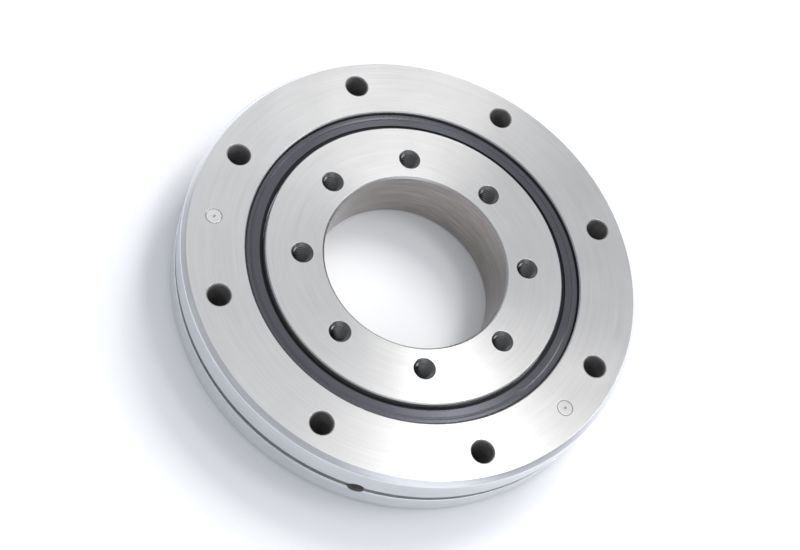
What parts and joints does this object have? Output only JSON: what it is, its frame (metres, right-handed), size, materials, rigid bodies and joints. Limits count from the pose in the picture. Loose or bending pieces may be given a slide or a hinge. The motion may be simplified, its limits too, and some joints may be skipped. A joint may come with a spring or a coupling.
{
  "type": "slewing ring bearing",
  "caption": "Crossed-roller slewing ring with bolt holes in both rings, a large plain bore, rubber seals and an oil groove round the rim.",
  "frame": {"origin": "centre of the bearing: on its axis, at half its width", "axes": "+Z along the bearing's axis, out of the face on which the outer ring's bolt holes are plain; +X through one of the outer ring's bolt holes"},
  "size_m": [0.095, 0.095, 0.014],
  "materials": {
    "outer_ring_steel": "ground bearing steel",
    "inner_ring_steel": "ground bearing steel",
    "seal_rubber": "matt black nitrile rubber",
    "plug_steel": "ground with the rim",
    "pin_steel": "ground with the face",
    "roller_steel": "superfinished bearing steel",
    "spacer_plastic": "moulded acetal"
  },
  "bodies": {
    "outer_ring_assembly": {"outer_ring": "outer_ring_steel", "upper_seal": "seal_rubber", "lower_seal": "seal_rubber", "loading_plug_a": "plug_steel", "loading_plug_b": "plug_steel", "plug_pins": "pin_steel"},
    "inner_ring": {"inner_ring": "inner_ring_steel"},
    "spacer_train": {"spacer_01": "spacer_plastic", "spacer_02": "spacer_plastic", "spacer_03": "spacer_plastic", "spacer_04": "spacer_plastic", "spacer_05": "spacer_plastic", "spacer_06": "spacer_plastic", "spacer_07": "spacer_plastic", "spacer_08": "spacer_plastic", "spacer_09": "spacer_plastic", "spacer_10": "spacer_plastic", "spacer_11": "spacer_plastic", "spacer_12": "spacer_plastic", "spacer_13": "spacer_plastic", "spacer_14": "spacer_plastic", "spacer_15": "spacer_plastic", "spacer_16": "spacer_plastic", "spacer_17": "spacer_plastic", "spacer_18": "spacer_plastic", "spacer_19": "spacer_plastic", "spacer_20": "spacer_plastic", "spacer_21": "spacer_plastic", "spacer_22": "spacer_plastic", "spacer_23": "spacer_plastic", "spacer_24": "spacer_plastic", "spacer_25": "spacer_plastic", "spacer_26": "spacer_plastic"},
    "roller_01": {"roller_01": "roller_steel"},
    "roller_02": {"roller_02": "roller_steel"},
    "roller_03": {"roller_03": "roller_steel"},
    "roller_04": {"roller_04": "roller_steel"},
    "roller_05": {"roller_05": "roller_steel"},
    "roller_06": {"roller_06": "roller_steel"},
    "roller_07": {"roller_07": "roller_steel"},
    "roller_08": {"roller_08": "roller_steel"},
    "roller_09": {"roller_09": "roller_steel"},
    "roller_10": {"roller_10": "roller_steel"},
    "roller_11": {"roller_11": "roller_steel"},
    "roller_12": {"roller_12": "roller_steel"},
    "roller_13": {"roller_13": "roller_steel"},
    "roller_14": {"roller_14": "roller_steel"},
    "roller_15": {"roller_15": "roller_steel"},
    "roller_16": {"roller_16": "roller_steel"},
    "roller_17": {"roller_17": "roller_steel"},
    "roller_18": {"roller_18": "roller_steel"},
    "roller_19": {"roller_19": "roller_steel"},
    "roller_20": {"roller_20": "roller_steel"},
    "roller_21": {"roller_21": "roller_steel"},
    "roller_22": {"roller_22": "roller_steel"},
    "roller_23": {"roller_23": "roller_steel"},
    "roller_24": {"roller_24": "roller_steel"},
    "roller_25": {"roller_25": "roller_steel"},
    "roller_26": {"roller_26": "roller_steel"}
  },
  "joints": [
    {"name": "inner_ring_turn", "type": "hinge", "parent": "outer_ring_assembly", "child": "inner_ring", "pos_m": [0, 0, 0], "axis": [0, 0, 1], "continuous": true},
    {"name": "spacer_train_orbit", "type": "hinge", "parent": "outer_ring_assembly", "child": "spacer_train", "pos_m": [0, 0, 0], "axis": [0, 0, 1], "continuous": true},
    {"name": "roller_01_spin", "type": "hinge", "parent": "spacer_train", "child": "roller_01", "pos_m": [0.033, 0, 0], "axis": [0.7071, 0, 0.7071], "continuous": true},
    {"name": "roller_02_spin", "type": "hinge", "parent": "spacer_train", "child": "roller_02", "pos_m": [0.03204, 0.0079, 0], "axis": [-0.6866, -0.1692, 0.7071], "continuous": true},
    {"name": "roller_03_spin", "type": "hinge", "parent": "spacer_train", "child": "roller_03", "pos_m": [0.02922, 0.01534, 0], "axis": [0.6261, 0.3286, 0.7071], "continuous": true},
    {"name": "roller_04_spin", "type": "hinge", "parent": "spacer_train", "child": "roller_04", "pos_m": [0.0247, 0.02188, 0], "axis": [-0.5293, -0.4689, 0.7071], "continuous": true},
    {"name": "roller_05_spin", "type": "hinge", "parent": "spacer_train", "child": "roller_05", "pos_m": [0.01875, 0.02716, 0], "axis": [0.4017, 0.5819, 0.7071], "continuous": true},
    {"name": "roller_06_spin", "type": "hinge", "parent": "spacer_train", "child": "roller_06", "pos_m": [0.0117, 0.03086, 0], "axis": [-0.2507, -0.6612, 0.7071], "continuous": true},
    {"name": "roller_07_spin", "type": "hinge", "parent": "spacer_train", "child": "roller_07", "pos_m": [0.00398, 0.03276, 0], "axis": [0.0852, 0.702, 0.7071], "continuous": true},
    {"name": "roller_08_spin", "type": "hinge", "parent": "spacer_train", "child": "roller_08", "pos_m": [-0.00398, 0.03276, 0], "axis": [0.0852, -0.702, 0.7071], "continuous": true},
    {"name": "roller_09_spin", "type": "hinge", "parent": "spacer_train", "child": "roller_09", "pos_m": [-0.0117, 0.03086, 0], "axis": [-0.2507, 0.6612, 0.7071], "continuous": true},
    {"name": "roller_10_spin", "type": "hinge", "parent": "spacer_train", "child": "roller_10", "pos_m": [-0.01875, 0.02716, 0], "axis": [0.4017, -0.5819, 0.7071], "continuous": true},
    {"name": "roller_11_spin", "type": "hinge", "parent": "spacer_train", "child": "roller_11", "pos_m": [-0.0247, 0.02188, 0], "axis": [-0.5293, 0.4689, 0.7071], "continuous": true},
    {"name": "roller_12_spin", "type": "hinge", "parent": "spacer_train", "child": "roller_12", "pos_m": [-0.02922, 0.01534, 0], "axis": [0.6261, -0.3286, 0.7071], "continuous": true},
    {"name": "roller_13_spin", "type": "hinge", "parent": "spacer_train", "child": "roller_13", "pos_m": [-0.03204, 0.0079, 0], "axis": [-0.6866, 0.1692, 0.7071], "continuous": true},
    {"name": "roller_14_spin", "type": "hinge", "parent": "spacer_train", "child": "roller_14", "pos_m": [-0.033, 0, 0], "axis": [0.7071, 0, 0.7071], "continuous": true},
    {"name": "roller_15_spin", "type": "hinge", "parent": "spacer_train", "child": "roller_15", "pos_m": [-0.03204, -0.0079, 0], "axis": [-0.6866, -0.1692, 0.7071], "continuous": true},
    {"name": "roller_16_spin", "type": "hinge", "parent": "spacer_train", "child": "roller_16", "pos_m": [-0.02922, -0.01534, 0], "axis": [0.6261, 0.3286, 0.7071], "continuous": true},
    {"name": "roller_17_spin", "type": "hinge", "parent": "spacer_train", "child": "roller_17", "pos_m": [-0.0247, -0.02188, 0], "axis": [-0.5293, -0.4689, 0.7071], "continuous": true},
    {"name": "roller_18_spin", "type": "hinge", "parent": "spacer_train", "child": "roller_18", "pos_m": [-0.01875, -0.02716, 0], "axis": [0.4017, 0.5819, 0.7071], "continuous": true},
    {"name": "roller_19_spin", "type": "hinge", "parent": "spacer_train", "child": "roller_19", "pos_m": [-0.0117, -0.03086, 0], "axis": [-0.2507, -0.6612, 0.7071], "continuous": true},
    {"name": "roller_20_spin", "type": "hinge", "parent": "spacer_train", "child": "roller_20", "pos_m": [-0.00398, -0.03276, 0], "axis": [0.0852, 0.702, 0.7071], "continuous": true},
    {"name": "roller_21_spin", "type": "hinge", "parent": "spacer_train", "child": "roller_21", "pos_m": [0.00398, -0.03276, 0], "axis": [0.0852, -0.702, 0.7071], "continuous": true},
    {"name": "roller_22_spin", "type": "hinge", "parent": "spacer_train", "child": "roller_22", "pos_m": [0.0117, -0.03086, 0], "axis": [-0.2507, 0.6612, 0.7071], "continuous": true},
    {"name": "roller_23_spin", "type": "hinge", "parent": "spacer_train", "child": "roller_23", "pos_m": [0.01875, -0.02716, 0], "axis": [0.4017, -0.5819, 0.7071], "continuous": true},
    {"name": "roller_24_spin", "type": "hinge", "parent": "spacer_train", "child": "roller_24", "pos_m": [0.0247, -0.02188, 0], "axis": [-0.5293, 0.4689, 0.7071], "continuous": true},
    {"name": "roller_25_spin", "type": "hinge", "parent": "spacer_train", "child": "roller_25", "pos_m": [0.02922, -0.01534, 0], "axis": [0.6261, -0.3286, 0.7071], "continuous": true},
    {"name": "roller_26_spin", "type": "hinge", "parent": "spacer_train", "child": "roller_26", "pos_m": [0.03204, -0.0079, 0], "axis": [-0.6866, 0.1692, 0.7071], "continuous": true}
  ],
  "couplings": [
    {"joint": "spacer_train_orbit", "follows": "inner_ring_turn", "ratio": 0.46786},
    {"joint": "roller_01_spin", "follows": "inner_ring_turn", "ratio": -5.4773},
    {"joint": "roller_02_spin", "follows": "inner_ring_turn", "ratio": -5.4773},
    {"joint": "roller_03_spin", "follows": "inner_ring_turn", "ratio": -5.4773},
    {"joint": "roller_04_spin", "follows": "inner_ring_turn", "ratio": -5.4773},
    {"joint": "roller_05_spin", "follows": "inner_ring_turn", "ratio": -5.4773},
    {"joint": "roller_06_spin", "follows": "inner_ring_turn", "ratio": -5.4773},
    {"joint": "roller_07_spin", "follows": "inner_ring_turn", "ratio": -5.4773},
    {"joint": "roller_08_spin", "follows": "inner_ring_turn", "ratio": -5.4773},
    {"joint": "roller_09_spin", "follows": "inner_ring_turn", "ratio": -5.4773},
    {"joint": "roller_10_spin", "follows": "inner_ring_turn", "ratio": -5.4773},
    {"joint": "roller_11_spin", "follows": "inner_ring_turn", "ratio": -5.4773},
    {"joint": "roller_12_spin", "follows": "inner_ring_turn", "ratio": -5.4773},
    {"joint": "roller_13_spin", "follows": "inner_ring_turn", "ratio": -5.4773},
    {"joint": "roller_14_spin", "follows": "inner_ring_turn", "ratio": -5.4773},
    {"joint": "roller_15_spin", "follows": "inner_ring_turn", "ratio": -5.4773},
    {"joint": "roller_16_spin", "follows": "inner_ring_turn", "ratio": -5.4773},
    {"joint": "roller_17_spin", "follows": "inner_ring_turn", "ratio": -5.4773},
    {"joint": "roller_18_spin", "follows": "inner_ring_turn", "ratio": -5.4773},
    {"joint": "roller_19_spin", "follows": "inner_ring_turn", "ratio": -5.4773},
    {"joint": "roller_20_spin", "follows": "inner_ring_turn", "ratio": -5.4773},
    {"joint": "roller_21_spin", "follows": "inner_ring_turn", "ratio": -5.4773},
    {"joint": "roller_22_spin", "follows": "inner_ring_turn", "ratio": -5.4773},
    {"joint": "roller_23_spin", "follows": "inner_ring_turn", "ratio": -5.4773},
    {"joint": "roller_24_spin", "follows": "inner_ring_turn", "ratio": -5.4773},
    {"joint": "roller_25_spin", "follows": "inner_ring_turn", "ratio": -5.4773},
    {"joint": "roller_26_spin", "follows": "inner_ring_turn", "ratio": -5.4773}
  ]
}
